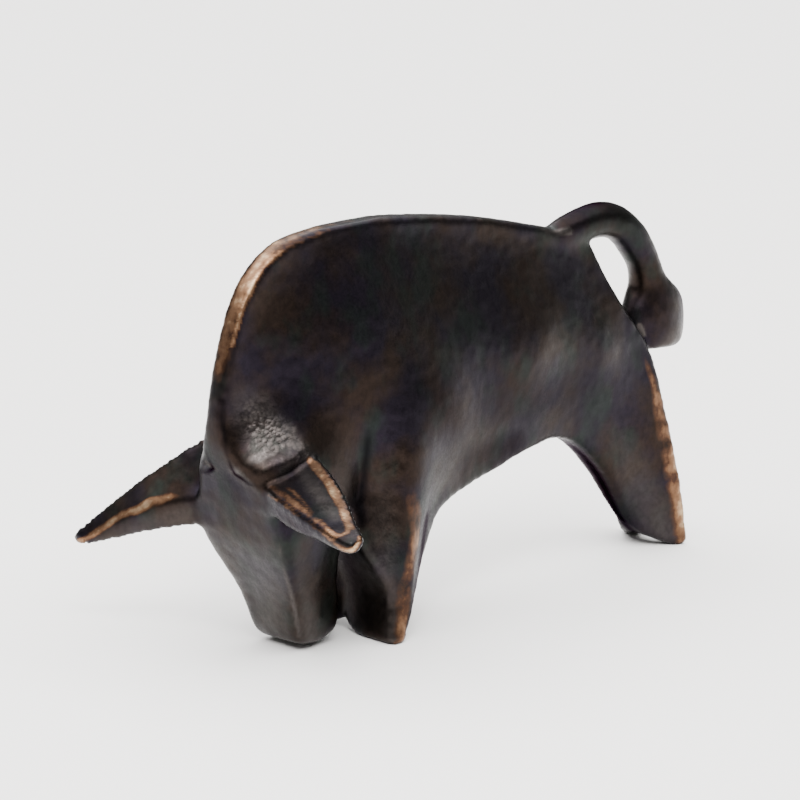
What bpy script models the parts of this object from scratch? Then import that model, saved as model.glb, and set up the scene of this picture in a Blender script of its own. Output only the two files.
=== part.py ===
"""A small bull cast in one piece in bronze, standing with its head lowered between its front legs.

The bull faces -Y, its left side is +X and it stands on z = 0.  Its body is a slab: a side outline with a
half-width at every station, and a skin stretched between the two sides' outlines like a thin plate that
also passes through the shoulder, the flank and the neck lines.  The horns and the tail are lofted and joined.
"""

import math

import bmesh
import bpy
import numpy as np
from mathutils import Matrix, Vector
from mathutils.geometry import delaunay_2d_cdt

# Driving dimensions, in metres
HUMP_HEIGHT = 0.164
HORN_REACH = 0.076
TAIL_THICKNESS = 0.014
TASSEL_DEPTH = 0.036
ARCH_HALF_WIDTH = 0.011
MESH_STEP = 0.005
CLEARANCE = 0.6 * MESH_STEP

# The stations below are drawn on a grid with this many squares to the hump's height
DRAWN_HEIGHT = 164.0
UNIT = HUMP_HEIGHT / DRAWN_HEIGHT

# How many faces lie across the rim between the two sides
RIM_FACES = 8

# The side outline's runs, each from corner to corner, as grid squares: y, z, half-width, and how far
# the middle of the rim is bowed along y and along z
FACE_AND_BACK = [
    (-36.0, 3.4, 13.2, 0.0, 0.0),
    (-38.8, 9.0, 13.6, 0.0, 0.0),
    (-42.0, 21.0, 16.2, 0.0, 0.0),
    (-48.5, 34.0, 20.8, 0.0, 0.0),
    (-54.5, 47.0, 24.4, 0.0, 0.0),
    (-57.5, 60.0, 22.0, 0.0, 0.0),
    (-61.0, 72.5, 17.5, 0.0, 0.0),
    (-66.0, 81.0, 10.0, 0.0, 0.0),
    (-69.3, 91.0, 5.0, 0.0, 0.0),
    (-68.3, 102.0, 4.0, 0.0, 0.0),
    (-65.0, 118.0, 4.0, 0.0, 0.0),
    (-58.5, 137.0, 4.0, 0.0, 0.0),
    (-49.0, 151.0, 4.1, 0.0, 0.0),
    (-35.2, 160.0, 4.0, 0.0, 0.0),
    (-11.0, 163.6, 3.8, 0.0, 0.0),
    (20.0, 163.0, 4.0, 0.0, 0.0),
    (65.0, 156.8, 4.0, 0.0, 0.0),
    (110.0, 146.0, 3.6, 0.0, 0.0),
    (138.0, 137.0, 3.2, 0.0, 0.0),
]
RUMP_AND_HOCK = [
    (138.0, 137.0, 3.2, 0.0, 0.0),
    (147.0, 119.5, 6.0, 0.0, 0.0),
    (156.5, 104.5, 8.2, 0.0, 0.0),
    (169.0, 87.0, 9.6, 0.0, 0.0),
    (175.4, 64.5, 12.3, -1.0, 0.0),
    (183.9, 24.0, 16.2, -3.0, 3.0),
    (187.0, 0.0, 17.6, -4.0, 9.0),
]
HIND_SOLE = [
    (187.0, 0.0, 17.6, -4.0, 9.0),
    (183.2, 0.0, 16.2, -2.0, 4.0),
]
HIND_UNDERSIDE = [
    (183.2, 0.0, 16.2, -2.0, 4.0),
    (172.2, 5.2, 7.6, 0.0, 0.0),
    (163.6, 13.4, 2.4, 0.0, 0.0),
]
HIND_FRONT = [
    (163.6, 13.4, 2.4, 0.0, 0.0),
    (158.0, 21.5, 4.6, 0.0, 0.0),
    (147.7, 36.5, 6.2, 0.0, 0.0),
    (132.8, 50.8, 5.8, 0.0, 0.0),
    (118.0, 57.7, 6.5, 0.0, 0.0),
    (100.0, 57.3, 9.0, 0.0, 0.0),
    (77.0, 53.5, 11.5, 0.0, 0.0),
    (51.5, 48.8, 14.5, 0.0, 0.0),
    (35.0, 44.5, 17.5, 0.0, 0.0),
]
FRONT_LEG_REAR = [
    (35.0, 44.5, 17.5, 0.0, 0.0),
    (20.0, 29.5, 24.0, 0.0, 0.0),
    (9.0, 12.5, 29.0, 1.0, 2.0),
    (1.6, 0.0, 33.0, 3.0, 6.0),
]
FRONT_SOLE = [
    (1.6, 0.0, 33.0, 3.0, 6.0),
    (-4.6, 0.0, 32.0, 5.0, 4.5),
]
CHEST = [
    (-4.6, 0.0, 32.0, 5.0, 4.5),
    (-1.8, 18.0, 29.0, 2.0, 0.0),
    (-6.8, 30.2, 26.0, 3.0, 0.0),
    (-11.6, 40.5, 22.0, 2.0, 0.0),
    (-13.0, 53.0, 19.0, 0.0, 0.0),
]
JAW = [
    (-13.0, 53.0, 19.0, 0.0, 0.0),
    (-17.5, 40.0, 16.5, 0.0, 0.0),
    (-17.0, 27.0, 14.0, 0.0, 0.0),
    (-14.8, 13.4, 12.4, 0.0, 0.0),
    (-16.6, 5.4, 12.0, 0.0, 0.0),
    (-25.0, 2.1, 12.4, 0.0, 0.0),
    (-36.0, 3.4, 13.2, 0.0, 0.0),
]
OUTLINE = [
    FACE_AND_BACK, RUMP_AND_HOCK, HIND_SOLE, HIND_UNDERSIDE, HIND_FRONT,
    FRONT_LEG_REAR, FRONT_SOLE, CHEST, JAW,
]

# Lines that the flanks pass through, as grid squares: y, z, half-width
SHOULDER_RIDGE = [
    (4.5, 12.0, 31.6), (7.5, 32.0, 30.5), (5.7, 48.5, 29.0), (4.2, 64.5, 26.5), (2.7, 96.0, 22.0),
    (-1.0, 128.0, 16.0), (1.0, 150.0, 8.6),
]
SHOULDER_CREASE = [(-9.5, 58.0, 15.8), (-7.6, 66.0, 16.9), (-5.8, 76.0, 18.9), (-4.8, 86.0, 21.0)]
THROAT = [(-16.5, 60.0, 19.5), (-15.0, 72.0, 19.3), (-14.0, 84.0, 19.0)]
CHEEK = [(-36.0, 52.0, 22.6), (-35.5, 38.0, 20.6), (-31.0, 24.0, 16.8), (-28.0, 12.0, 14.2)]
NECK_HOLLOW = [(-59.0, 104.0, 5.0), (-51.0, 112.0, 7.2), (-43.0, 126.0, 8.0)]
HORN_LEDGE = [(-57.0, 79.0, 18.5), (-50.0, 81.0, 21.0), (-43.0, 83.5, 20.5), (-35.0, 87.0, 18.0)]
LEDGE_FOOT = [(-60.0, 90.0, 8.0), (-50.0, 95.5, 10.5), (-38.0, 102.0, 12.5)]
BARREL = [(44.0, 78.0, 20.7), (93.0, 98.0, 17.0), (138.0, 90.0, 12.8)]
SKIN_LINES = [SHOULDER_RIDGE, SHOULDER_CREASE, THROAT, CHEEK, NECK_HOLLOW, HORN_LEDGE, LEDGE_FOOT]

# The horns on the grid, from inside the head to the tip: the share of HORN_REACH, then where the top
# edge, the two front ridges with a bevel between them and the bottom edge lie, each as y, z
LEFT_HORN = [
    (0.10, (-32.0, 81.0), (-50.0, 72.5), (-55.5, 71.5), (-54.5, 61.5)),
    (0.26, (-34.4, 81.2), (-53.9, 74.2), (-60.2, 72.5), (-57.6, 61.5)),
    (0.41, (-38.0, 79.2), (-58.6, 71.7), (-63.3, 69.3), (-60.6, 59.2)),
    (0.55, (-42.6, 76.2), (-63.3, 69.7), (-66.0, 67.3), (-63.7, 59.2)),
    (0.70, (-48.9, 72.1), (-67.1, 67.9), (-68.5, 64.8), (-66.1, 60.4)),
    (0.84, (-55.9, 68.0), (-70.3, 65.8), (-70.4, 61.8), (-68.2, 59.8)),
    (0.95, (-61.2, 66.0), (-71.0, 64.8), (-70.8, 60.2), (-67.6, 58.6)),
    (1.00, (-63.6, 64.2), (-69.2, 63.2), (-69.6, 60.8), (-66.6, 60.0)),
]
RIGHT_HORN = [
    (0.10, (-36.5, 86.5), (-48.0, 65.2), (-52.0, 60.7), (-50.0, 48.5)),
    (0.26, (-40.5, 86.0), (-52.0, 63.5), (-55.5, 59.3), (-54.0, 47.6)),
    (0.41, (-46.2, 82.0), (-57.2, 61.3), (-59.8, 57.0), (-58.2, 46.2)),
    (0.55, (-52.6, 72.5), (-63.0, 57.3), (-65.0, 52.2), (-63.4, 43.4)),
    (0.70, (-59.5, 62.4), (-67.5, 51.0), (-69.5, 46.3), (-68.0, 39.9)),
    (0.84, (-66.8, 51.9), (-71.3, 43.4), (-72.5, 39.6), (-71.8, 36.3)),
    (0.95, (-72.6, 43.0), (-74.7, 37.2), (-75.0, 34.8), (-74.4, 34.0)),
    (1.00, (-74.0, 39.6), (-74.8, 37.2), (-75.2, 35.8), (-74.2, 35.6)),
]
# A horn's back bulges behind the line from its top edge to its bottom edge by this share of that line
HORN_BACK = 0.17
# How much of each side the rounding of a horn's edges takes, and with how many points
HORN_EDGE_CUT = 0.13
HORN_EDGE_POINTS = 3

# The tail's middle line on the grid: y, z, share of TAIL_THICKNESS, share of its own width
TAIL_LINE = [
    (113.0, 138.0, 0.6, 0.5),
    (128.0, 141.5, 0.94, 0.75),
    (147.5, 143.9, 1.0, 0.9),
    (160.5, 139.5, 0.98, 1.0),
    (169.4, 131.0, 0.98, 1.0),
    (175.6, 121.6, 0.9, 1.0),
    (178.2, 113.0, 1.05, 1.1),
]
# The tassel's middle line on the grid: y, z, share of TASSEL_DEPTH
TASSEL_LINE = [(180.7, 103.8, 0.9), (181.6, 95.0, 0.96), (180.8, 85.3, 0.9)]
TASSEL_FLATNESS = 0.58
TAIL_FACES = 12


def catmull_rom(stations, step):
    """Points about a step apart on a smooth curve through the stations; two stations are a straight edge."""
    points = np.array(stations, dtype=float)
    if len(points) < 3:
        return points
    ahead = np.vstack([2 * points[0] - points[1], points, 2 * points[-1] - points[-2]])
    curve = []
    for a, b, c, d in zip(ahead, ahead[1:], ahead[2:], ahead[3:]):
        count = max(1, round(np.linalg.norm((c - b)[:2]) / step))
        for i in range(count):
            t = i / count
            bend = (2 * a - 5 * b + 4 * c - d) * t * t + (3 * b - a - 3 * c + d) * t ** 3
            curve.append(b + 0.5 * ((c - a) * t + bend))
    curve.append(points[-1])
    return np.array(curve)


def side_outline():
    """The closed side outline in metres: y, z, half-width and the two bows at each point."""
    runs = [catmull_rom(np.array(run) * UNIT, MESH_STEP)[:-1] for run in OUTLINE]
    return np.vstack(runs)


def inside(points, outline):
    """Which points lie inside the closed outline, by counting crossings."""
    y, z = points[:, 0], points[:, 1]
    odd = np.zeros(len(points), dtype=bool)
    for (ya, za), (yb, zb) in zip(outline, np.roll(outline, -1, axis=0)):
        crosses = (za > z) != (zb > z)
        rise = zb - za if zb != za else 1.0
        odd ^= crosses & (y < (yb - ya) * (z - za) / rise + ya)
    return odd


def clear_of(points, others, gap):
    """Which points keep a gap to all the others."""
    away = np.linalg.norm(points[:, None, :] - others[None, :, :], axis=2).min(axis=1)
    return away > gap


def plate_points(outline, lines):
    """A triangular grid of points inside the outline that keeps off its edge and off the skin's lines."""
    low, high = outline.min(axis=0), outline.max(axis=0)
    row_step = MESH_STEP * math.sqrt(3) / 2
    rows = []
    for i, z in enumerate(np.arange(low[1], high[1], row_step)):
        start = low[0] + (i % 2) * MESH_STEP / 2
        rows += [(y, z) for y in np.arange(start, high[0], MESH_STEP)]
    grid = np.array(rows)
    grid = grid[inside(grid, outline)]
    grid = grid[clear_of(grid, outline, CLEARANCE)]
    return grid[clear_of(grid, lines, CLEARANCE)]


def cotangent_matrix(points, faces):
    """The stiffness matrix of a triangle mesh and the area that belongs to each point."""
    count = len(points)
    stiffness = np.zeros((count, count))
    area = np.zeros(count)
    for face in faces:
        for k in range(3):
            i, j, o = face[k], face[(k + 1) % 3], face[(k + 2) % 3]
            u, v = points[i] - points[o], points[j] - points[o]
            cross = abs(u[0] * v[1] - u[1] * v[0])
            weight = 0.5 * (u @ v) / max(cross, 1e-12)
            stiffness[i, i] += weight
            stiffness[j, j] += weight
            stiffness[i, j] -= weight
            stiffness[j, i] -= weight
            area[o] += cross / 6
    return stiffness, area


def stretch_skin(points, faces, known):
    """Half-widths at all points: a thin plate through the known ones."""
    stiffness, area = cotangent_matrix(points, faces)
    bending = stiffness @ (stiffness / area[:, None])
    free = np.array([i for i in range(len(points)) if i not in known])
    held = np.array(sorted(known))
    widths = np.zeros(len(points))
    widths[held] = [known[i] for i in held]
    pull = -bending[np.ix_(free, held)] @ widths[held]
    widths[free] = np.linalg.solve(bending[np.ix_(free, free)], pull)
    return widths


def flank(outline):
    """One flank's plate: its points, its triangles and the half-width at each point."""
    rim = outline[:, :2]
    lines = [catmull_rom(np.array(line) * UNIT, MESH_STEP) for line in SKIN_LINES]
    lines += [np.array([point]) * UNIT for point in BARREL]
    on_lines = np.vstack(lines)
    grid = plate_points(rim, on_lines[:, :2])
    points = np.vstack([rim, on_lines[:, :2], grid])
    edges = [(i, (i + 1) % len(rim)) for i in range(len(rim))]
    first = len(rim)
    for line in lines:
        edges += [(first + i, first + i + 1) for i in range(len(line) - 1)]
        first += len(line)
    vectors = [Vector(point) for point in points]
    result = delaunay_2d_cdt(vectors, edges, [list(range(len(rim)))], 1, 1e-7)
    faces = [tuple(face) for face in result[2]]
    known = {i: outline[i, 2] for i in range(len(rim))}
    known.update({len(rim) + i: on_lines[i, 2] for i in range(len(on_lines))})
    return points, faces, stretch_skin(points, faces, known)


def arch(x):
    """How much of the bow there is at x: all in the middle and nothing over the soles."""
    if abs(x) >= ARCH_HALF_WIDTH:
        return 0.0
    return math.cos(math.pi / 2 * x / ARCH_HALF_WIDTH) ** 2


def add_mesh(name, vertices, faces):
    """A mesh object whose faces point outwards."""
    mesh = bpy.data.meshes.new(name)
    built = bmesh.new()
    corners = [built.verts.new(vertex) for vertex in vertices]
    for face in faces:
        built.faces.new([corners[i] for i in face])
    bmesh.ops.recalc_face_normals(built, faces=built.faces)
    built.to_mesh(mesh)
    built.free()
    thing = bpy.data.objects.new(name, mesh)
    bpy.context.collection.objects.link(thing)
    return thing


def make_body():
    """The body and head: two flanks joined around the outline by the rim."""
    outline = side_outline()
    points, faces, widths = flank(outline)
    count, around = len(points), len(outline)
    left = [(widths[i], points[i][0], points[i][1]) for i in range(count)]
    right = [(-widths[i], points[i][0], points[i][1]) for i in range(count)]
    vertices = left + right
    columns = [list(range(around))]
    for k in range(1, RIM_FACES):
        share = 1 - 2 * k / RIM_FACES
        columns.append(list(range(len(vertices), len(vertices) + around)))
        for y, z, half, bow_y, bow_z in outline:
            x = share * half
            vertices.append((x, y + bow_y * arch(x), z + bow_z * arch(x)))
    columns.append(list(range(count, count + around)))
    all_faces = [face for face in faces]
    all_faces += [tuple(count + i for i in reversed(face)) for face in faces]
    for near, far in zip(columns, columns[1:]):
        for i in range(around):
            j = (i + 1) % around
            all_faces += [(near[i], far[i], near[j]), (near[j], far[i], far[j])]
    return add_mesh("bull", vertices, all_faces)


def loft(name, sections):
    """A closed skin over sections of equally many points, with a fan over each end."""
    size = len(sections[0])
    vertices = [point for section in sections for point in section]
    faces = []
    for row in range(len(sections) - 1):
        for i in range(size):
            a, b = row * size + i, row * size + (i + 1) % size
            faces += [(a, b, a + size), (b, b + size, a + size)]
    for row in (0, len(sections) - 1):
        vertices.append(tuple(np.mean(sections[row], axis=0)))
        faces += [(row * size + i, row * size + (i + 1) % size, len(vertices) - 1) for i in range(size)]
    return add_mesh(name, vertices, faces)


def rounded_polygon(corners, cut, arc_points):
    """A polygon's outline with its corners rounded off, cut being the share of each side that goes."""
    outline = []
    for k in range(len(corners)):
        corner = np.array(corners[k])
        before, after = np.array(corners[k - 1]), np.array(corners[(k + 1) % len(corners)])
        start, end = corner + (before - corner) * cut, corner + (after - corner) * cut
        for i in range(arc_points):
            t = i / (arc_points - 1)
            outline.append((1 - t) ** 2 * start + 2 * t * (1 - t) * corner + t * t * end)
    return outline


def make_horn(name, side, stations):
    """One horn: a blade with a bevelled front and a bulging back that tapers to a round tip."""
    sections = []
    for share, top, brow, bevel, under in stations:
        upper, lower = np.array(top), np.array(under)
        rise = upper - lower
        back = (upper + lower) / 2 + HORN_BACK * np.array([rise[1], -rise[0]])
        corners = [point * UNIT for point in (upper, np.array(brow), np.array(bevel), lower, back)]
        ring = rounded_polygon(corners, HORN_EDGE_CUT, HORN_EDGE_POINTS)
        sections.append([(side * share * HORN_REACH, y, z) for y, z in ring])
    return loft(name, sections)


def make_tail():
    """The tail: a flattened bar that arches over the rump and ends in the tassel."""
    spine = catmull_rom([(y * UNIT, z * UNIT, t, w) for y, z, t, w in TAIL_LINE], MESH_STEP)
    tassel = []
    for y, z, depth in TASSEL_LINE:
        thick = depth * TASSEL_DEPTH / TAIL_THICKNESS
        tassel.append((y * UNIT, z * UNIT, thick, thick * TASSEL_FLATNESS))
    spine = np.vstack([spine, tassel])
    sections = []
    for i, (y, z, thick, wide) in enumerate(spine):
        ahead, behind = spine[min(i + 1, len(spine) - 1)], spine[max(i - 1, 0)]
        run = (ahead - behind)[:2]
        run = run / np.linalg.norm(run)
        out = np.array([-run[1], run[0]])
        ring = []
        for k in range(TAIL_FACES):
            turn = 2 * math.pi * k / TAIL_FACES
            rise = math.cos(turn) * thick * TAIL_THICKNESS / 2
            across = math.sin(turn) * wide * TAIL_THICKNESS / 2
            ring.append((across, y + out[0] * rise, z + out[1] * rise))
        sections.append(ring)
    return loft("tail", sections)


def join(body, piece):
    """Fuse a piece to the body and keep it only as a hidden guide."""
    union = body.modifiers.new(piece.name, "BOOLEAN")
    union.operation = "UNION"
    union.solver = "EXACT"
    union.object = piece
    piece.hide_render = True
    piece.display_type = "WIRE"


def centre_on_floor(pieces):
    """Move every mesh so that the origin is the middle of the base of the box around them all."""
    corners = np.array([vertex.co for piece in pieces for vertex in piece.data.vertices])
    low, high = corners.min(axis=0), corners.max(axis=0)
    middle = Vector(((low[0] + high[0]) / 2, (low[1] + high[1]) / 2, low[2]))
    for piece in pieces:
        piece.data.transform(Matrix.Translation(-middle))


def make_bronze():
    """Dark patinated bronze."""
    bronze = bpy.data.materials.new("patinated bronze")
    bronze.use_nodes = True
    shader = bronze.node_tree.nodes["Principled BSDF"]
    shader.inputs["Base Color"].default_value = (0.035, 0.028, 0.026, 1.0)
    shader.inputs["Metallic"].default_value = 0.9
    shader.inputs["Roughness"].default_value = 0.38
    return bronze


def main():
    """Clear the scene and build the bull."""
    for thing in list(bpy.data.objects):
        bpy.data.objects.remove(thing, do_unlink=True)
    body = make_body()
    pieces = [make_horn("left horn", 1, LEFT_HORN), make_horn("right horn", -1, RIGHT_HORN), make_tail()]
    centre_on_floor([body] + pieces)
    for piece in pieces:
        join(body, piece)
    body.data.materials.append(make_bronze())


main()
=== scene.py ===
"""The look of a small bull cast in bronze: its refined skin, its patina, the floor and the light."""
import logging
import math
from dataclasses import dataclass
from enum import Enum
from typing import Any

import bmesh
import bpy
import numpy as np
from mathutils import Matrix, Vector, noise


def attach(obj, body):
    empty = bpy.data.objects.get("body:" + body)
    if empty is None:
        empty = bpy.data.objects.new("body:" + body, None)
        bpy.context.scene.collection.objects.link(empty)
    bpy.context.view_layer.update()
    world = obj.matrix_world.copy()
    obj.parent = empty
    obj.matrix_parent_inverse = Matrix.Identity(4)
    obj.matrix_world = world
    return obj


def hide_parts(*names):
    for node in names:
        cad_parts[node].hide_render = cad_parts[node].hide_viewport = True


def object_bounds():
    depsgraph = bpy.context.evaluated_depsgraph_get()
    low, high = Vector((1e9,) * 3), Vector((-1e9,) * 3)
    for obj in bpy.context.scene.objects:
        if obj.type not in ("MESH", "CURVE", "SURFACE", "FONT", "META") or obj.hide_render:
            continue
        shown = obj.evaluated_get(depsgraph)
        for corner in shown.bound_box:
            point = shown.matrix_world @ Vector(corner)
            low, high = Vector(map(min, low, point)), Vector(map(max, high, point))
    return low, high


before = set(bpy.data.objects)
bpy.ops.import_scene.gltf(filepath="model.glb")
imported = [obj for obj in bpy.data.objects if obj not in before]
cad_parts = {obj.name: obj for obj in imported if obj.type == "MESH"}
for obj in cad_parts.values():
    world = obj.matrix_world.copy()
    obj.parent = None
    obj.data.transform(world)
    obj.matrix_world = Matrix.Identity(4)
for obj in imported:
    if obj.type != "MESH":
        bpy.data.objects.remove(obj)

LOG = logging.getLogger("bull")
MM = 0.001
CAD_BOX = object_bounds()


def linear(colour: str) -> tuple[float, float, float, float]:
    """Turn an sRGB hex colour into linear values.

    Args:
        colour: six hex digits after a hash sign.

    Returns:
        Red, green, blue and an alpha of one.
    """
    values = [int(colour[i:i + 2], 16) / 255 for i in (1, 3, 5)]
    red, green, blue = [v / 12.92 if v <= 0.04045 else ((v + 0.055) / 1.055) ** 2.4 for v in values]
    return red, green, blue, 1.0


def add_node(tree: bpy.types.NodeTree, kind: str, settings: dict[str, Any] | None = None,
             **links: Any) -> bpy.types.Node:
    """Add a shader node with its settings, its values and its links.

    Args:
        tree: the material's node tree.
        kind: the node's type name.
        settings: the node's own properties.
        **links: for each input, by its name with _ for a space or as in0, in1 and so on, a socket to
            link or a value to set.

    Returns:
        The new node.
    """
    node = tree.nodes.new(kind)
    for name, value in (settings or {}).items():
        setattr(node, name, value)
    for name, value in links.items():
        numbered = name[:2] == "in" and name[2:].isdigit()
        socket = node.inputs[int(name[2:])] if numbered else node.inputs[name.replace("_", " ")]
        if isinstance(value, bpy.types.NodeSocket):
            tree.links.new(value, socket)
        else:
            socket.default_value = value
    return node


def select_only(thing: bpy.types.Object) -> None:
    """Deselect everything, then select one object and make it active.

    Args:
        thing: the object that is left selected.
    """
    bpy.ops.object.select_all(action="DESELECT")
    thing.select_set(True)
    bpy.context.view_layer.objects.active = thing


def fade(values: np.ndarray, start: float, full: float) -> np.ndarray:
    """Rise evenly from 0 at the start value to 1 at the full value, held at both ends."""
    return np.clip((values - start) / (full - start), 0.0, 1.0)


class Layer(Enum):
    """What is painted on the skin, named as the attribute that the material reads: wear, painted light,
    painted shade and hammering.
    """

    WEAR = "wear"
    PALE = "pale"
    SHADE = "shade"
    HAMMER = "hammer"


class Sides(Enum):
    """Which flanks a stroke is painted on."""

    ONE = (1,)
    BOTH = (1, -1)


@dataclass(frozen=True)
class Stroke:
    """A band along a line on the skin; each station is x, y, z, half-width in mm and strength."""

    stations: tuple[tuple[float, float, float, float, float], ...]
    sides: Sides = Sides.BOTH

    def cover(self, points: np.ndarray) -> np.ndarray:
        """Work out how strongly the band covers each point.

        Args:
            points: the skin's points in mm, one row each.

        Returns:
            A value from 0 to the band's strength for each point.
        """
        cover = np.zeros(len(points))
        rows = np.array(self.stations)
        for side in self.sides.value:
            line = rows * [side, 1, 1, 1, 1]
            for start, end in zip(line, line[1:]):
                cover = np.maximum(cover, self.segment(points, start, end))
        return cover

    def segment(self, points: np.ndarray, start: np.ndarray, end: np.ndarray) -> np.ndarray:
        """Work out how strongly one straight piece of the band covers each point.

        Args:
            points: the skin's points in mm, one row each.
            start: the station that the piece starts from.
            end: the station that it runs to.

        Returns:
            A value from 0 to the piece's strength for each point.
        """
        run = end[:3] - start[:3]
        along = np.clip((points - start[:3]) @ run / (run @ run), 0.0, 1.0)
        away = np.linalg.norm(points - start[:3] - along[:, None] * run, axis=1)
        width = start[3] + along * (end[3] - start[3])
        strength = start[4] + along * (end[4] - start[4])
        inside = np.clip(1.0 - away / width, 0.0, 1.0)
        return strength * inside * inside * (3.0 - 2.0 * inside)


def covered(strokes: tuple[Stroke, ...], points: np.ndarray) -> np.ndarray:
    """The strongest cover of several strokes at each point."""
    return np.max([stroke.cover(points) for stroke in strokes], axis=0)


# The stations were chosen along the ridges, hollows and patches that each stroke follows
WORN = (
    # The front of the crest, and its near edge
    Stroke((
        (0.0, -129.8, 104.0, 5.0, 0.05), (0.0, -128.6, 110.8, 5.5, 0.16), (0.0, -126.2, 120.3, 6.0, 0.46),
        (0.0, -122.9, 130.7, 6.2, 0.7), (0.0, -119.7, 138.2, 6.5, 0.72), (0.0, -115.8, 144.9, 6.5, 0.76),
        (0.0, -112.5, 149.1, 6.5, 0.78), (0.0, -108.0, 153.6, 6.5, 0.78), (0.0, -102.6, 157.6, 6.2, 0.62),
        (0.0, -95.3, 160.5, 6.0, 0.52), (0.0, -84.1, 162.6, 5.5, 0.46), (0.0, -71.5, 163.7, 5.0, 0.34),
        (0.0, -58.7, 163.9, 4.5, 0.2), (0.0, -47.5, 163.4, 4.0, 0.0))),
    Stroke((
        (3.6, -124.5, 126.1, 1.6, 0.7), (3.6, -120.8, 135.9, 1.8, 0.85), (3.4, -116.4, 143.0, 2.2, 1.0),
        (3.2, -112.7, 148.9, 2.4, 1.0), (3.6, -106.7, 154.5, 2.0, 0.85), (3.8, -97.2, 158.5, 1.7, 0.7),
        (3.9, -86.0, 161.1, 1.5, 0.55), (3.9, -72.5, 163.1, 1.3, 0.4))),
    # The near horn: its upper rim, the bright ridge inside the rim, its lower ridge and the bevel between
    Stroke((
        (21.4, -102.2, 80.4, 2.6, 0.3), (25.5, -101.9, 78.8, 3.0, 0.6), (32.6, -105.0, 77.2, 3.2, 0.68),
        (47.1, -111.8, 73.0, 3.2, 0.68), (55.9, -116.6, 70.2, 3.0, 0.66), (62.4, -120.3, 67.9, 2.8, 0.64),
        (68.8, -125.0, 66.2, 2.6, 0.6)), Sides.ONE),
    Stroke((
        (22.6, -103.2, 79.6, 1.2, 0.0), (28.0, -104.8, 78.0, 1.6, 0.75), (34.5, -107.2, 76.2, 1.8, 1.0),
        (42.4, -110.6, 74.2, 1.9, 1.15), (50.5, -115.0, 71.4, 1.9, 1.15), (58.9, -119.7, 68.8, 1.8, 1.1),
        (64.6, -123.4, 67.0, 1.8, 1.05), (69.8, -128.0, 65.6, 1.8, 1.0), (69.5, -131.0, 65.2, 1.8, 1.0),
        (65.9, -132.0, 65.4, 1.6, 0.95)), Sides.ONE),
    Stroke((
        (23.5, -118.8, 73.0, 1.2, 0.3), (28.0, -118.4, 72.7, 1.7, 0.95), (31.6, -119.1, 72.2, 1.6, 1.0),
        (39.9, -122.2, 70.7, 1.4, 0.9), (48.7, -125.8, 69.0, 1.3, 0.85), (56.6, -128.5, 67.5, 1.3, 0.85),
        (65.9, -132.0, 65.4, 1.5, 0.95)), Sides.ONE),
    Stroke((
        (21.5, -120.6, 72.4, 2.2, 0.35), (28.9, -122.0, 71.2, 2.8, 0.58), (33.9, -123.3, 70.3, 2.8, 0.6),
        (46.8, -126.7, 68.8, 2.4, 0.6), (60.1, -130.5, 66.5, 2.2, 0.6), (67.8, -132.4, 64.9, 2.2, 0.64)),
           Sides.ONE),
    Stroke((
        (19.5, -121.5, 70.3, 1.2, 0.4), (32.0, -125.0, 69.2, 1.3, 0.68), (46.4, -128.4, 67.0, 1.3, 0.74),
        (61.2, -131.6, 64.8, 1.4, 0.78), (67.8, -132.5, 62.4, 1.6, 0.8), (72.2, -132.2, 61.0, 1.9, 0.88),
        (75.4, -131.0, 61.0, 1.9, 0.92), (76.0, -128.3, 63.0, 1.7, 0.8), (74.7, -126.2, 64.6, 1.5, 0.7)),
           Sides.ONE),
    # The far horn: the ridge along its front, brightest at the tip
    Stroke((
        (-31.0, -120.0, 59.0, 1.8, 0.3), (-34.9, -121.6, 58.0, 3.0, 0.9), (-42.3, -125.5, 55.0, 3.4, 1.1),
        (-47.9, -127.9, 51.6, 3.0, 1.1), (-54.1, -129.8, 48.8, 2.8, 1.05), (-58.6, -131.7, 45.2, 2.6, 0.95),
        (-64.5, -133.9, 41.0, 2.4, 0.85), (-70.3, -136.3, 36.6, 2.4, 0.7), (-74.0, -137.0, 34.8, 2.4, 0.65)),
           Sides.ONE),
    # The streak down the front legs' outer sides, and the hind legs' rear edges with the rump between them
    Stroke((
        (28.3, -54.5, 64.0, 5.0, 0.0), (28.2, -52.6, 56.3, 7.0, 0.22), (28.3, -50.6, 48.0, 8.0, 0.3),
        (28.9, -52.0, 38.0, 8.0, 0.32), (29.8, -56.3, 26.2, 7.0, 0.34), (30.8, -60.5, 12.3, 6.0, 0.36),
        (32.0, -62.3, 2.2, 5.0, 0.4))),
    Stroke((
        (28.2, -50.0, 54.0, 1.6, 0.2), (28.3, -48.2, 44.0, 2.0, 0.5), (29.2, -51.6, 33.0, 2.0, 0.42),
        (29.9, -55.0, 24.0, 1.8, 0.5), (30.9, -58.8, 11.0, 1.8, 0.45), (32.2, -60.8, 2.0, 1.8, 0.62))),
    Stroke((
        (7.0, 102.2, 90.0, 3.2, 0.3), (9.6, 106.8, 75.0, 4.2, 0.55), (11.6, 112.8, 56.5, 8.0, 0.5),
        (13.6, 117.5, 38.4, 9.0, 0.5), (15.6, 121.7, 17.5, 9.0, 0.48), (17.0, 124.5, 1.5, 9.0, 0.5))),
    Stroke((
        (10.2, 107.8, 76.0, 2.4, 0.5), (12.1, 113.3, 56.5, 3.4, 0.7), (14.2, 118.2, 38.4, 3.6, 0.76),
        (16.1, 122.2, 17.5, 3.6, 0.72), (17.4, 125.1, 1.5, 3.6, 0.74))),
    Stroke(((0.0, 104.0, 88.0, 7.0, 0.2), (0.0, 111.0, 64.0, 8.0, 0.45), (0.0, 116.0, 42.0, 9.0, 0.35))),
    # The front feet's edges
    Stroke(((31.8, -65.6, 1.0, 1.6, 0.6), (32.6, -61.0, 1.0, 1.8, 0.75))),
)

# Painted light: paler patches and lines that stand in for the floor's reflections and the lamps' highlights
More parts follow.
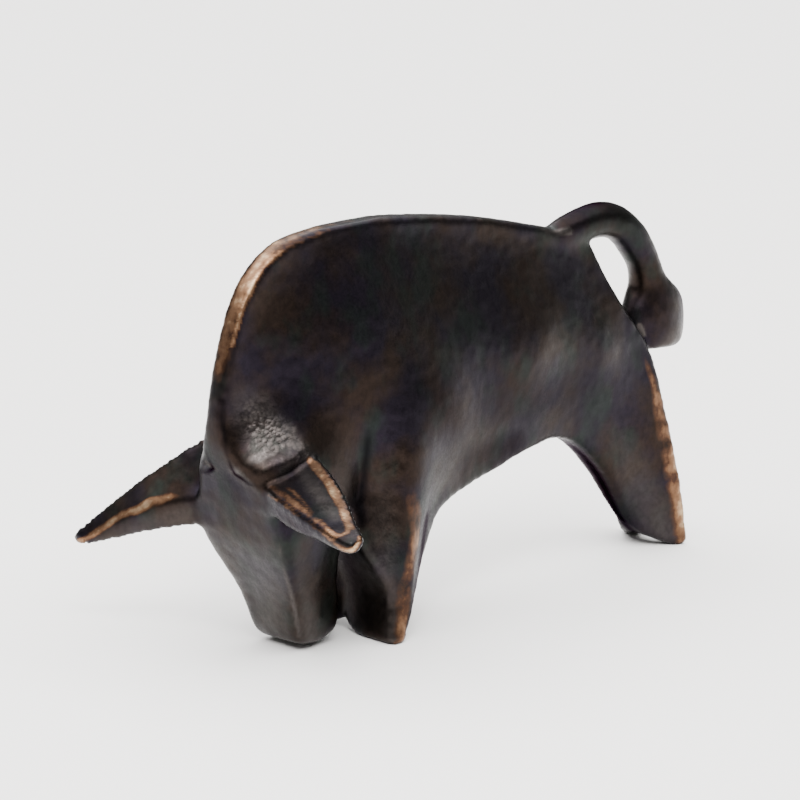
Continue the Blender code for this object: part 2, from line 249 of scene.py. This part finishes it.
PAINTED_LIGHT_STROKES = (
    # Painted light on the muzzle's end, the strip of cheek behind the face's edge and the near horn's leaf
    Stroke(((0.0, -92.5, 4.0, 18.0, 1.0), (2.0, -98.0, 12.0, 15.0, 0.7), (3.0, -106.0, 26.0, 12.0, 0.35))),
    Stroke(((20.9, -111.5, 47.0, 6.0, 0.15), (18.4, -106.5, 35.4, 6.5, 0.3), (15.2, -100.0, 23.4, 6.5, 0.4),
            (13.2, -95.0, 8.5, 8.0, 0.8), (12.5, -92.5, 3.0, 8.0, 0.9))),
    Stroke(((24.0, -107.5, 77.5, 4.0, 0.3), (37.8, -113.8, 73.5, 5.5, 1.0), (48.5, -118.9, 70.7, 5.5, 0.85),
            (59.0, -123.8, 67.9, 4.5, 0.55)), Sides.ONE),
    # Painted highlights: the thin light line on the face's edge, and the glints at the tail's root and the
    # tassel's root
    Stroke(((22.0, -117.0, 52.0, 1.2, 0.0), (20.9, -115.9, 47.0, 1.6, 0.8), (18.6, -110.8, 35.4, 1.7, 1.1),
            (15.4, -104.7, 23.4, 1.7, 1.2), (13.4, -99.0, 7.0, 1.7, 1.0)), Sides.ONE),
    Stroke(((3.8, 47.0, 145.6, 1.8, 0.4), (4.2, 56.0, 143.3, 2.0, 1.2), (4.6, 62.6, 142.9, 2.2, 2.2))),
    Stroke(((5.9, 105.4, 96.0, 1.9, 2.2), (6.2, 106.8, 92.6, 1.9, 2.2))),
    # Painted light on the far horn's underside
    Stroke(((-30.0, -118.0, 52.0, 9.0, 0.55), (-48.0, -126.0, 45.0, 7.0, 0.65),
            (-66.0, -133.0, 37.0, 4.0, 0.65)), Sides.ONE),
    # Painted light on the tassel's lower part, and painted glints on the neck's hammered side and its ledge
    # with a second band under it
    Stroke(((6.0, 121.0, 86.0, 12.0, 0.5), (6.0, 130.0, 90.0, 9.0, 0.5))),
    Stroke(((8.5, -121.0, 104.0, 10.0, 0.35), (10.5, -118.0, 98.0, 13.0, 0.9),
            (11.6, -114.0, 91.0, 13.0, 1.3), (17.1, -108.0, 87.0, 9.0, 0.9), (20.0, -103.0, 84.0, 6.0, 0.5))),
    Stroke(((15.3, -103.5, 91.5, 2.2, 1.1), (17.1, -107.1, 87.6, 3.0, 1.6), (15.7, -115.3, 85.0, 3.4, 1.8),
            (13.1, -121.7, 82.5, 3.4, 1.8), (8.3, -125.4, 78.5, 3.0, 1.5), (4.5, -127.0, 75.5, 2.6, 1.0))),
    Stroke(((20.0, -104.0, 84.5, 5.0, 0.5), (18.5, -112.0, 81.5, 5.5, 0.7), (14.0, -120.0, 79.0, 5.0, 0.7))),
    # Painted light on the front legs' and the hind legs' outer sides
    Stroke(((25.5, -66.0, 66.0, 8.0, 0.15), (26.5, -66.0, 50.0, 10.0, 0.35), (28.0, -67.0, 30.0, 9.0, 0.4),
            (30.0, -66.0, 10.0, 8.0, 0.55), (31.0, -65.0, 2.0, 7.0, 0.6))),
    Stroke(((7.5, 88.0, 54.0, 11.0, 0.1), (9.5, 99.0, 36.0, 13.0, 0.3), (12.0, 108.0, 18.0, 13.0, 0.5),
            (14.0, 114.0, 5.0, 12.0, 0.6))),
)

# Painted shade: darker patches in hollows and creases and on parts that should reflect little light
PAINTED_SHADE_STROKES = (
    # Painted shade in the groove under the ledge, the shoulder's crease and the hollow of the chest, and on
    # the brow
    Stroke(((3.6, -129.6, 105.4, 1.6, 0.5), (4.6, -130.2, 95.9, 1.8, 0.8), (5.6, -129.8, 88.2, 2.0, 0.9),
            (6.0, -125.8, 76.0, 2.4, 0.9), (11.5, -123.3, 73.3, 2.2, 0.8), (18.5, -122.0, 72.4, 1.8, 0.5))),
    Stroke(((20.5, -68.0, 88.0, 2.5, 0.0), (19.8, -68.4, 81.9, 3.2, 0.9), (17.4, -68.8, 65.0, 4.0, 1.0),
            (20.3, -72.8, 49.0, 5.0, 0.9))),
    Stroke(((8.0, -66.0, 10.0, 16.0, 0.55), (10.0, -68.0, 30.0, 16.0, 0.6), (12.0, -73.0, 50.0, 12.0, 0.8))),
    Stroke(((0.0, -129.0, 84.0, 12.0, 0.2), (0.0, -127.0, 72.0, 16.0, 0.45), (0.0, -122.0, 56.0, 15.0, 0.2))),
    # Painted shade on the front of the flank, the loins, the belly and the hind legs' narrow fronts
    Stroke(((24.0, -44.0, 102.0, 16.0, 0.3), (24.0, -32.0, 92.0, 22.0, 0.55),
            (22.0, -22.0, 80.0, 18.0, 0.4))),
    Stroke(((16.0, 4.0, 84.0, 26.0, 0.4), (13.0, 34.0, 78.0, 26.0, 0.42), (9.0, 70.0, 78.0, 22.0, 0.35))),
    Stroke(((16.0, -8.0, 62.0, 14.0, 0.3), (12.0, 24.0, 62.0, 15.0, 0.55))),
    Stroke(((0.0, 60.0, 56.0, 8.0, 0.4), (0.0, 71.0, 50.5, 9.0, 0.85), (0.0, 86.0, 36.0, 9.5, 0.9),
            (0.0, 96.0, 21.5, 8.5, 0.9), (0.0, 102.0, 13.0, 7.0, 0.95), (0.0, 112.0, 4.5, 7.5, 0.9))),
    # Painted shade on the near horn's root and the front legs' narrow rear sides
    Stroke(((20.9, -104.5, 81.3, 2.6, 0.5), (21.9, -111.7, 77.6, 3.0, 0.85), (20.6, -118.8, 73.6, 2.4, 0.7)),
           Sides.ONE),
    Stroke(((19.0, -36.0, 54.0, 7.0, 0.3), (23.6, -40.5, 44.2, 7.0, 0.8), (25.9, -45.5, 29.3, 6.5, 0.8),
            (29.3, -53.5, 15.4, 5.5, 0.7), (31.5, -58.7, 3.0, 4.0, 0.5))),
    # Painted shade on the near horn's underside, the tail's back and the tassel's front
    Stroke(((20.0, -120.5, 65.0, 7.0, 0.2), (36.0, -125.4, 63.5, 6.5, 0.55), (50.0, -128.0, 62.5, 5.5, 0.55),
            (60.0, -129.0, 62.0, 4.0, 0.4)), Sides.ONE),
    Stroke(((0.0, 64.7, 148.0, 10.0, 0.6), (0.0, 83.6, 149.0, 12.0, 0.9), (0.0, 97.0, 142.0, 12.0, 0.75),
            (0.0, 108.0, 128.0, 7.0, 0.2), (0.0, 119.0, 117.0, 9.0, 0.8), (0.0, 130.0, 106.0, 13.0, 1.0),
            (0.0, 131.0, 98.0, 9.0, 0.7))),
)

HAMMERED = (
    # The neck's side with its ledge, and more lightly the shoulder and the front legs
    Stroke(((8.0, -122.0, 106.0, 11.0, 0.3), (10.0, -118.0, 97.0, 15.0, 1.0), (14.0, -111.0, 86.0, 14.0, 1.2),
            (19.0, -106.0, 81.0, 9.0, 1.1))),
    Stroke(((24.5, -58.0, 96.0, 14.0, 0.0), (25.5, -60.0, 78.0, 14.0, 0.4), (27.0, -62.0, 52.0, 12.0, 0.4),
            (28.0, -63.0, 30.0, 9.0, 0.35))),
)

SOFTENED = (
    # The near horn's root is the roundest, then come the face's edges, the other roots and the heels
    Stroke(((18.0, -103.0, 84.0, 8.0, 1.0), (19.0, -111.0, 80.5, 9.0, 1.0), (18.0, -118.0, 76.5, 8.0, 1.0)),
           Sides.ONE),
    Stroke(((13.4, -98.5, 4.0, 5.5, 0.5), (18.6, -110.8, 35.4, 5.5, 0.5), (24.4, -116.4, 47.0, 5.5, 0.5),
            (22.0, -119.4, 60.0, 4.0, 0.35), (17.5, -122.9, 71.5, 3.0, 0.25))),
    Stroke(((20.5, -117.0, 74.0, 5.0, 0.4), (21.0, -118.0, 62.0, 5.0, 0.45), (20.5, -106.0, 66.0, 6.0, 0.45),
            (19.5, -99.5, 76.0, 5.0, 0.45), (19.5, -103.0, 81.5, 5.0, 0.45)), Sides.ONE),
    Stroke(((-19.5, -103.0, 86.0, 5.0, 0.45), (-21.0, -114.0, 64.5, 4.0, 0.35),
            (-21.5, -116.0, 58.0, 4.0, 0.35), (-21.5, -115.0, 48.0, 5.0, 0.45),
            (-21.0, -100.0, 62.0, 6.0, 0.45), (-19.5, -100.0, 80.0, 6.0, 0.45)), Sides.ONE),
    Stroke(((4.5, 52.0, 142.0, 4.0, 0.3), (5.0, 64.0, 140.0, 6.0, 0.45), (3.0, 77.0, 136.0, 6.0, 0.45))),
    Stroke(((5.0, 104.0, 110.0, 6.0, 0.5), (5.0, 106.0, 97.0, 5.0, 0.5), (6.5, 109.0, 88.0, 4.0, 0.45))),
    Stroke(((0.0, 117.5, 117.0, 10.0, 0.45), (0.0, 133.0, 104.0, 12.0, 0.4), (0.0, 133.0, 85.0, 12.0, 0.4))),
    Stroke(((16.8, 124.0, 0.0, 4.5, 0.45), (16.0, 121.5, 10.0, 3.5, 0.3))),
)

RAISED = (
    # The filled hollow above the near horn's leaf, and a low ridge across the hind legs' outer sides
    Stroke(((19.4, -104.0, 83.0, 4.5, 2.0), (18.4, -112.5, 80.3, 5.5, 3.2), (15.6, -119.5, 77.5, 5.0, 2.4)),
           Sides.ONE),
    Stroke(((7.5, 85.3, 37.0, 3.0, 0.3), (9.0, 90.0, 31.5, 4.0, 1.0), (10.5, 95.0, 26.5, 4.0, 1.0),
            (12.0, 100.5, 21.0, 3.6, 0.7), (13.0, 103.6, 17.7, 3.0, 0.0))),
)


class Pattern(Enum):
    """The patina's patterns, each as wide as in PatinatedBronze, and the painted light and rubbed metal
    worked out from them.
    """

    CLOUDS = 1
    TINTS = 2
    MOTTLE = 3
    GRAIN = 4
    PITS = 5
    PAINTED_LIGHT_FLATS = 6
    RUBBED = 7


Masks = dict[Enum, bpy.types.NodeSocket]


@dataclass(frozen=True)
class Grain:
    """A noise pattern: about how wide its patches are, how fine it goes, and its scale along z."""

    width_mm: float
    detail: float
    upright: float = 1.0


@dataclass(frozen=True)
class Coat:
    """A colour laid over those before it, from none at one value of a mask to its strength at another."""

    colour: str
    mask: Pattern | Layer
    start: float = 0.0
    full: float = 1.0
    strength: float = 1.0


@dataclass(frozen=True)
class PatinatedBronze:
    """Cast bronze, stained near black by a chemical patina and rubbed bare on its ridges.

    The patina is thin, so the metal's own shine shows through it: a dark, satin, slightly mottled violet and
    brown, with reddish, then copper-coloured and at last pale gold metal where hands and cloth have rubbed.
    A pale coat is painted light and a near-black coat is painted shade.
    """

    ground: str = "#1f1b22"
    coats: tuple[Coat, ...] = (
        Coat("#28201c", Pattern.CLOUDS, 0.42, 0.6),
        Coat("#1f2522", Pattern.TINTS, 0.5, 0.66, 0.75),
        # Painted light, in a pale colour, broken into the hammer's flats
        Coat("#474240", Pattern.PAINTED_LIGHT_FLATS),
        Coat("#0a090b", Pattern.GRAIN, 0.35, 0.72, 0.3),
        # Painted shade, near black
        Coat("#0a090b", Layer.SHADE),
        Coat("#4c3527", Pattern.RUBBED, 0.08, 0.5),
        Coat("#7d5f48", Pattern.RUBBED, 0.36, 0.86),
        Coat("#b8a080", Pattern.RUBBED, 0.76, 1.25),
    )
    # Seen at a flat angle, the parts with painted shade reflect less of the room than bare metal does
    bare_edge: str = "#ffffff"
    painted_shade_edge: str = "#a098a0"
    clouds: Grain = Grain(26.0, 4.0)
    tints: Grain = Grain(15.4, 3.0, 0.75)
    mottle: Grain = Grain(7.0, 5.0)
    grain: Grain = Grain(2.1, 3.0, 0.75)
    # A casting's pits are finer than this, which is as coarse as they need to be to show
    pits: Grain = Grain(0.9, 2.0)
    # The hammer's flats, and how much painted light they take from their edges to their middles
    flat_mm: float = 1.9
    flat_edge: float = 0.7
    flat_middle: float = 0.3
    edge_painted_light: float = 0.35
    middle_painted_light: float = 1.2
    # How unevenly the wear is rubbed, and how far it's held back
    rub_mottle: float = 1.9
    rub_grain: float = 0.35
    rub_near: float = 0.35
    rub_back: float = 0.1
    least_rough: float = 0.31
    most_rough: float = 0.45
    smooth_pit: float = 0.3
    rough_pit: float = 0.7
    grain_depth_mm: float = 0.08
    dent_depth_mm: float = 0.5
    pit_relief: float = 0.35
    mottle_relief: float = 1.8
    bump_strength: float = 0.6

    def make(self) -> bpy.types.Material:
        """Build the material.

        Returns:
            The finished material.
        """
        material = bpy.data.materials.new("patinated cast bronze")
        material.use_nodes = True
        tree = material.node_tree
        shader = tree.nodes["Principled BSDF"]
        masks = self.masks(tree)
        base = linear(self.ground)
        for coat in self.coats:
            cover = add_node(tree, "ShaderNodeMapRange", Value=masks[coat.mask], From_Min=coat.start,
                             From_Max=coat.full, To_Max=coat.strength)
            base = add_node(tree, "ShaderNodeMix", {"data_type": "RGBA"}, in0=cover.outputs[0], in6=base,
                            in7=linear(coat.colour)).outputs[2]
        tree.links.new(base, shader.inputs["Base Color"])
        shader.inputs["Metallic"].default_value = 1.0
        # Painted shade also dims the reflection at flat angles
        edge = add_node(tree, "ShaderNodeMix", {"data_type": "RGBA"}, in0=masks[Layer.SHADE],
                        in6=linear(self.bare_edge), in7=linear(self.painted_shade_edge))
        tree.links.new(edge.outputs[2], shader.inputs["Specular Tint"])
        rough = add_node(tree, "ShaderNodeMapRange", Value=masks[Pattern.PITS], From_Min=self.smooth_pit,
                         From_Max=self.rough_pit, To_Min=self.least_rough, To_Max=self.most_rough)
        tree.links.new(rough.outputs[0], shader.inputs["Roughness"])
        tree.links.new(self.relief(tree, masks), shader.inputs["Normal"])
        return material

    def masks(self, tree: bpy.types.NodeTree) -> Masks:
        """Add the patterns and the painted layers, and work out the painted light in the hammer's flats and
        the rubbed metal.

        Args:
            tree: the material's node tree.

        Returns:
            The socket of each pattern and of each painted layer.
        """
        place = add_node(tree, "ShaderNodeTexCoord").outputs["Object"]
        masks: Masks = {}
        for layer in Layer:
            painted = add_node(tree, "ShaderNodeAttribute", {"attribute_name": layer.value})
            masks[layer] = painted.outputs["Fac"]
        for pattern, grain in ((Pattern.CLOUDS, self.clouds), (Pattern.TINTS, self.tints),
                               (Pattern.MOTTLE, self.mottle), (Pattern.GRAIN, self.grain),
                               (Pattern.PITS, self.pits)):
            drawn = add_node(tree, "ShaderNodeMapping", Vector=place, Scale=(1.0, 1.0, grain.upright))
            patches = add_node(tree, "ShaderNodeTexNoise", Vector=drawn.outputs[0],
                               Scale=1 / (grain.width_mm * MM), Detail=grain.detail)
            masks[pattern] = patches.outputs["Fac"]
        masks[Pattern.PAINTED_LIGHT_FLATS] = self.flats(tree, place, masks)
        masks[Pattern.RUBBED] = self.rubbed(tree, masks)
        return masks

    def cells(self, tree: bpy.types.NodeTree, place: bpy.types.NodeSocket) -> bpy.types.NodeSocket:
        """Add the pattern of the hammer's flats: how far each point is from its flat's middle."""
        return add_node(tree, "ShaderNodeTexVoronoi", {"feature": "F1"}, Vector=place,
                        Scale=1 / (self.flat_mm * MM)).outputs["Distance"]

    def flats(self, tree: bpy.types.NodeTree, place: bpy.types.NodeSocket,
              masks: Masks) -> bpy.types.NodeSocket:
        """Break the painted light up into the hammer's flats where the skin is hammered.

        Args:
            tree: the material's node tree.
            place: the socket of the Object coordinates.
            masks: the painted layers' sockets.

        Returns:
            The socket of the painted light's mask.
        """
        middles = add_node(tree, "ShaderNodeMapRange", Value=self.cells(tree, place), From_Min=self.flat_edge,
                           From_Max=self.flat_middle, To_Min=self.edge_painted_light, To_Max=self.middle_painted_light)
        broken = add_node(tree, "ShaderNodeMix", in0=masks[Layer.HAMMER], in2=1.0, in3=middles.outputs[0])
        # The painted light, broken up by the flats where hammered
        pale = add_node(tree, "ShaderNodeMath", {"operation": "MULTIPLY", "use_clamp": True},
                        in0=masks[Layer.PALE], in1=broken.outputs[0])
        return pale.outputs[0]

    def rubbed(self, tree: bpy.types.NodeTree, masks: Masks) -> bpy.types.NodeSocket:
        """Make the wear layer uneven by the mottle and the grain, only where there is wear.

        Args:
            tree: the material's node tree.
            masks: the patterns' and the painted layers' sockets.

        Returns:
            The socket of the rubbed mask.
        """
        wear = masks[Layer.WEAR]
        mottled = add_node(tree, "ShaderNodeMath", {"operation": "MULTIPLY_ADD"}, in0=masks[Pattern.MOTTLE],
                           in1=self.rub_mottle, in2=-self.rub_mottle / 2)
        nicked = add_node(tree, "ShaderNodeMath", {"operation": "MULTIPLY_ADD"}, in0=masks[Pattern.GRAIN],
                          in1=self.rub_grain, in2=mottled.outputs[0])
        near = add_node(tree, "ShaderNodeMapRange", Value=wear, From_Max=self.rub_near)
        uneven = add_node(tree, "ShaderNodeMath", {"operation": "MULTIPLY_ADD"}, in0=nicked.outputs[0],
                          in1=near.outputs[0], in2=wear)
        held = add_node(tree, "ShaderNodeMath", {"operation": "SUBTRACT"}, in0=uneven.outputs[0],
                        in1=self.rub_back)
        return held.outputs[0]

    def relief(self, tree: bpy.types.NodeTree, masks: Masks) -> bpy.types.NodeSocket:
        """Add the finest relief: pits, grain and mottle all over, and the hammer's flats where they are.

        Args:
            tree: the material's node tree.
            masks: the patterns' and the painted layers' sockets.

        Returns:
            The socket of the bumped normal.
        """
        place = add_node(tree, "ShaderNodeTexCoord").outputs["Object"]
        pitted = add_node(tree, "ShaderNodeMath", {"operation": "MULTIPLY_ADD"}, in0=masks[Pattern.PITS],
                          in1=self.pit_relief, in2=masks[Pattern.GRAIN])
        mottled = add_node(tree, "ShaderNodeMath", {"operation": "MULTIPLY_ADD"}, in0=masks[Pattern.MOTTLE],
                           in1=self.mottle_relief, in2=pitted.outputs[0])
        blows = add_node(tree, "ShaderNodeMath", {"operation": "MULTIPLY"}, in0=self.cells(tree, place),
                         in1=masks[Layer.HAMMER])
        heights = add_node(tree, "ShaderNodeMath", {"operation": "SUBTRACT"}, in0=mottled.outputs[0],
                           in1=blows.outputs[0])
        depth = add_node(tree, "ShaderNodeMapRange", Value=masks[Layer.HAMMER],
                         To_Min=self.grain_depth_mm * MM, To_Max=self.dent_depth_mm * MM)
        bump = add_node(tree, "ShaderNodeBump", Height=heights.outputs[0], Strength=self.bump_strength,
                        Distance=depth.outputs[0])
        return bump.outputs["Normal"]


@dataclass
class CastSkin:
    """The bull's visible skin: the solid's form refined, with softened edges and the casting's unevenness."""

    finish: PatinatedBronze = PatinatedBronze()
    merge_mm: float = 0.001
    sharp_degrees: float = 32.0
    crease_grade: float = 0.4
    curve_levels: int = 2
    fine_voxel_mm: float = 0.7
    voxel_mm: float = 1.08
    soften_turns: int = 4
    root_turns: int = 110
    root_grades: int = 8
    settle_turns: int = 4
    smooth_factor: float = 0.5
    # The skin grows a little, because the rounding of its edges has drawn it in
    grow_mm: float = 0.72
    raise_mm: float = 0.55
    wave_mm: float = 0.22
    wave_width_mm: float = 15.0
    ripple_mm: float = 0.14
    ripple_width_mm: float = 4.5
    dent_mm: float = 0.5
    dent_width_mm: float = 2.6
    least_hammer: float = 0.02
    # Painted light on the face, more the lower it is: the part in front that looks forwards, between its two
    # edges
    face_painted_light: float = 0.24
    face_top_mm: float = 64.0
    face_low_mm: float = 30.0
    face_rear_mm: float = -90.0
    face_half_mm: float = 25.0
    face_core_mm: float = 22.0
    face_turned: float = 0.62
    face_forwards: float = 0.82

    def build(self) -> bpy.types.Object:
        """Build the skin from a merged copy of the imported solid.

        Returns:
            The finished piece.
        """
        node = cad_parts["bull"]
        skin = bpy.data.objects.new("bull_skin", node.data.copy())
        bpy.context.scene.collection.objects.link(skin)
        select_only(skin)
        bpy.ops.object.mode_set(mode="EDIT")
        bpy.ops.mesh.select_all(action="SELECT")
        bpy.ops.mesh.remove_doubles(threshold=self.merge_mm * MM)
        bpy.ops.object.mode_set(mode="OBJECT")
        self.crease(skin)
        self.refine(skin)
        self.relieve(skin)
        self.paint(skin)
        skin.data.materials.clear()
        skin.data.materials.append(self.finish.make())
        bpy.ops.object.shade_smooth()
        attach(skin, "root")
        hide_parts("bull")
        return skin

    def crease(self, skin: bpy.types.Object) -> None:
        """Crease the sharp edges so that refining rounds them only a little.

        Args:
            skin: the piece.
        """
        shape = bmesh.new()
        shape.from_mesh(skin.data)
        grades = shape.edges.layers.float.new("crease_edge")
        for edge in shape.edges:
            if edge.is_manifold and edge.calc_face_angle() > math.radians(self.sharp_degrees):
                edge[grades] = self.crease_grade
        shape.to_mesh(skin.data)
        shape.free()

    def refine(self, skin: bpy.types.Object) -> None:
        """Smooth the facets, remesh evenly and round the edges, the roots most.

        Args:
            skin: the piece.
        """
        curve = skin.modifiers.new("curve", "SUBSURF")
        curve.levels = self.curve_levels
        curve.render_levels = self.curve_levels
        self.remesh(skin, "fine", self.fine_voxel_mm)
        self.smooth(skin, "edges", self.soften_turns)
        self.apply(skin)
        grades = np.round(covered(SOFTENED, self.points(skin) / MM) * self.root_grades)
        roots = skin.vertex_groups.new(name="roots")
        for grade in range(1, self.root_grades + 1):
            chosen = np.flatnonzero(grades == grade)
            if len(chosen):
                roots.add(chosen.tolist(), grade / self.root_grades, "REPLACE")
        self.smooth(skin, "roots", self.root_turns).vertex_group = "roots"
        self.remesh(skin, "even", self.voxel_mm)
        self.smooth(skin, "settle", self.settle_turns)
        self.apply(skin)
        skin.vertex_groups.clear()
        LOG.info("skin: %d faces", len(skin.data.polygons))

    def remesh(self, skin: bpy.types.Object, name: str, voxel_mm: float) -> None:
        """Add an even remesh.

        Args:
            skin: the piece.
            name: the modifier's name.
            voxel_mm: how wide the new mesh's cells are.
        """
        even = skin.modifiers.new(name, "REMESH")
        even.mode = "VOXEL"
        even.voxel_size = voxel_mm * MM

    def smooth(self, skin: bpy.types.Object, name: str, turns: int) -> bpy.types.Modifier:
        """Add a smoothing of so many turns.

        Args:
            skin: the piece.
            name: the modifier's name.
            turns: how often it's smoothed.

        Returns:
            The new modifier.
        """
        soft = skin.modifiers.new(name, "SMOOTH")
        soft.factor = self.smooth_factor
        soft.iterations = turns
        return soft

    def apply(self, skin: bpy.types.Object) -> None:
        """Apply all the modifiers in order.

        Args:
            skin: the piece.
        """
        select_only(skin)
        for name in [modifier.name for modifier in skin.modifiers]:
            bpy.ops.object.modifier_apply(modifier=name)

    def points(self, skin: bpy.types.Object) -> np.ndarray:
        """Read the skin's points.

        Args:
            skin: the piece.

        Returns:
            Its points in metres, one row each.
        """
        flat = np.empty(len(skin.data.vertices) * 3)
        skin.data.vertices.foreach_get("co", flat)
        return flat.reshape(-1, 3)

    def normals(self, skin: bpy.types.Object) -> np.ndarray:
        """Read the skin's normals at its points.

        Args:
            skin: the piece.

        Returns:
            Its normals, one row each.
        """
        flat = np.empty(len(skin.data.vertices) * 3)
        skin.data.vertex_normals.foreach_get("vector", flat)
        return flat.reshape(-1, 3)

    def relieve(self, skin: bpy.types.Object) -> None:
        """Give the skin the casting's long waves and ripples, the hammer's dents and the low ridges.

        Args:
            skin: the piece.
        """
        points, normals = self.points(skin), self.normals(skin)
        hammer = covered(HAMMERED, points / MM)
        rise = self.grow_mm + self.raise_mm * covered(RAISED, points / MM)
        for i, point in enumerate(points / MM):
            place = Vector(point)
            rise[i] += self.wave_mm * noise.noise(place / self.wave_width_mm)
            rise[i] += self.ripple_mm * noise.noise(place / self.ripple_width_mm)
            if hammer[i] > self.least_hammer:
                rise[i] -= self.dent_mm * hammer[i] * (0.5 + 0.5 * noise.noise(place / self.dent_width_mm))
        moved = points + normals * (rise * MM)[:, None]
        low, high = np.array(CAD_BOX[0]), np.array(CAD_BOX[1])
        skin.data.vertices.foreach_set("co", np.clip(moved, low, high).ravel())
        skin.data.update()

    def paint(self, skin: bpy.types.Object) -> None:
        """Store where the skin is worn and hammered, and where light and shade are painted on it.

        Args:
            skin: the piece.
        """
        points, normals = self.points(skin) / MM, self.normals(skin)
        values = {Layer.WEAR: covered(WORN, points), Layer.PALE: covered(PAINTED_LIGHT_STROKES, points),
                  Layer.SHADE: covered(PAINTED_SHADE_STROKES, points), Layer.HAMMER: covered(HAMMERED, points)}
        # Painted light on the face, where its normals look forwards, more the lower it is
        forwards = fade(-normals[:, 1], self.face_turned, self.face_forwards)
        lowered = fade(points[:, 2], self.face_top_mm, self.face_low_mm)
        between = fade(np.abs(points[:, 0]), self.face_half_mm, self.face_core_mm)
        face = forwards * lowered * between * (points[:, 1] < self.face_rear_mm)
        values[Layer.PALE] = np.maximum(values[Layer.PALE], self.face_painted_light * face)
        for layer, value in values.items():
            skin.data.attributes.new(layer.value, "FLOAT", "POINT").data.foreach_set("value", value)


@dataclass
class Studio:
    """The floor, the softboxes and the camera."""

    floor_half: float = 6.0
    floor_colour: str = "#efedeb"
    floor_roughness: float = 0.9
    azimuth: float = 45.0
    elevation: float = 14.0
    distance: float = 1.7
    target: tuple[float, float, float] = (-0.0066, -0.023863, 0.085)
    lens: float = 191.25
    sensor_width: float = 36.0
    surround: float = 0.3
    ceiling_place: tuple[float, float, float] = (0.0, 0.0, 5.0)
    ceiling_aim: tuple[float, float, float] = (0.0, 0.0, 0.0)
    ceiling_size: float = 12.0
    ceiling_power: float = 2600.0
    key_place: tuple[float, float, float] = (0.65, -0.6, 1.25)
    key_aim: tuple[float, float, float] = (0.0, -0.11, 0.09)
    key_size: float = 0.35
    key_power: float = 9.0

    def build(self) -> None:
        """Make the floor, the world, the lights and the camera."""
        self.floor()
        world = bpy.data.worlds.new("studio")
        bpy.context.scene.world = world
        world.use_nodes = True
        world.node_tree.nodes["Background"].inputs["Color"].default_value = (self.surround,) * 3 + (1.0,)
        self.lamp("ceiling softbox", self.ceiling_place, self.ceiling_aim, self.ceiling_size,
                  self.ceiling_power)
        self.lamp("key softbox", self.key_place, self.key_aim, self.key_size, self.key_power)
        self.camera()

    def floor(self) -> None:
        """Lay the pale floor, a matt paper without any shine."""
        bpy.ops.object.select_all(action="DESELECT")
        bpy.ops.mesh.primitive_plane_add(size=2 * self.floor_half, location=(0.0, 0.0, 0.0))
        floor = bpy.context.object
        floor.name = "floor"
        paper = bpy.data.materials.new("matt pale paper")
        paper.use_nodes = True
        shader = paper.node_tree.nodes["Principled BSDF"]
        shader.inputs["Base Color"].default_value = linear(self.floor_colour)
        shader.inputs["Roughness"].default_value = self.floor_roughness
        floor.data.materials.append(paper)

    def lamp(self, name: str, place: tuple[float, float, float], aim: tuple[float, float, float], size: float,
             power: float) -> None:
        """Hang one square softbox and turn it to its aim.

        Args:
            name: the lamp's name.
            place: where it hangs, in metres.
            aim: the point that it faces, in metres.
            size: the length of its sides in metres.
            power: its power in watts.
        """
        light = bpy.data.lights.new(name, "AREA")
        light.shape = "SQUARE"
        light.size = size
        light.energy = power
        hung = bpy.data.objects.new(name, light)
        hung.location = place
        hung.rotation_euler = (Vector(aim) - Vector(place)).to_track_quat("-Z", "Y").to_euler()
        bpy.context.scene.collection.objects.link(hung)

    def camera(self) -> None:
        """Set the camera at the photograph's angle."""
        turn, rise = math.radians(self.azimuth), math.radians(self.elevation)
        away = Vector((math.sin(turn) * math.cos(rise), -math.cos(turn) * math.cos(rise), math.sin(rise)))
        lens = bpy.data.cameras.new("camera")
        lens.lens = self.lens
        lens.sensor_width = self.sensor_width
        camera = bpy.data.objects.new("camera", lens)
        camera.location = Vector(self.target) + away * self.distance
        camera.rotation_euler = (-away).to_track_quat("-Z", "Y").to_euler()
        bpy.context.scene.collection.objects.link(camera)
        bpy.context.scene.camera = camera


def main() -> None:
    """Build the studio and the bull, and report each piece."""
    logging.basicConfig(level=logging.INFO)
    Studio().build()
    LOG.info("built the studio")
    skin = CastSkin().build()
    LOG.info("built %s", skin.name)


if __name__ == "__main__":
    main()
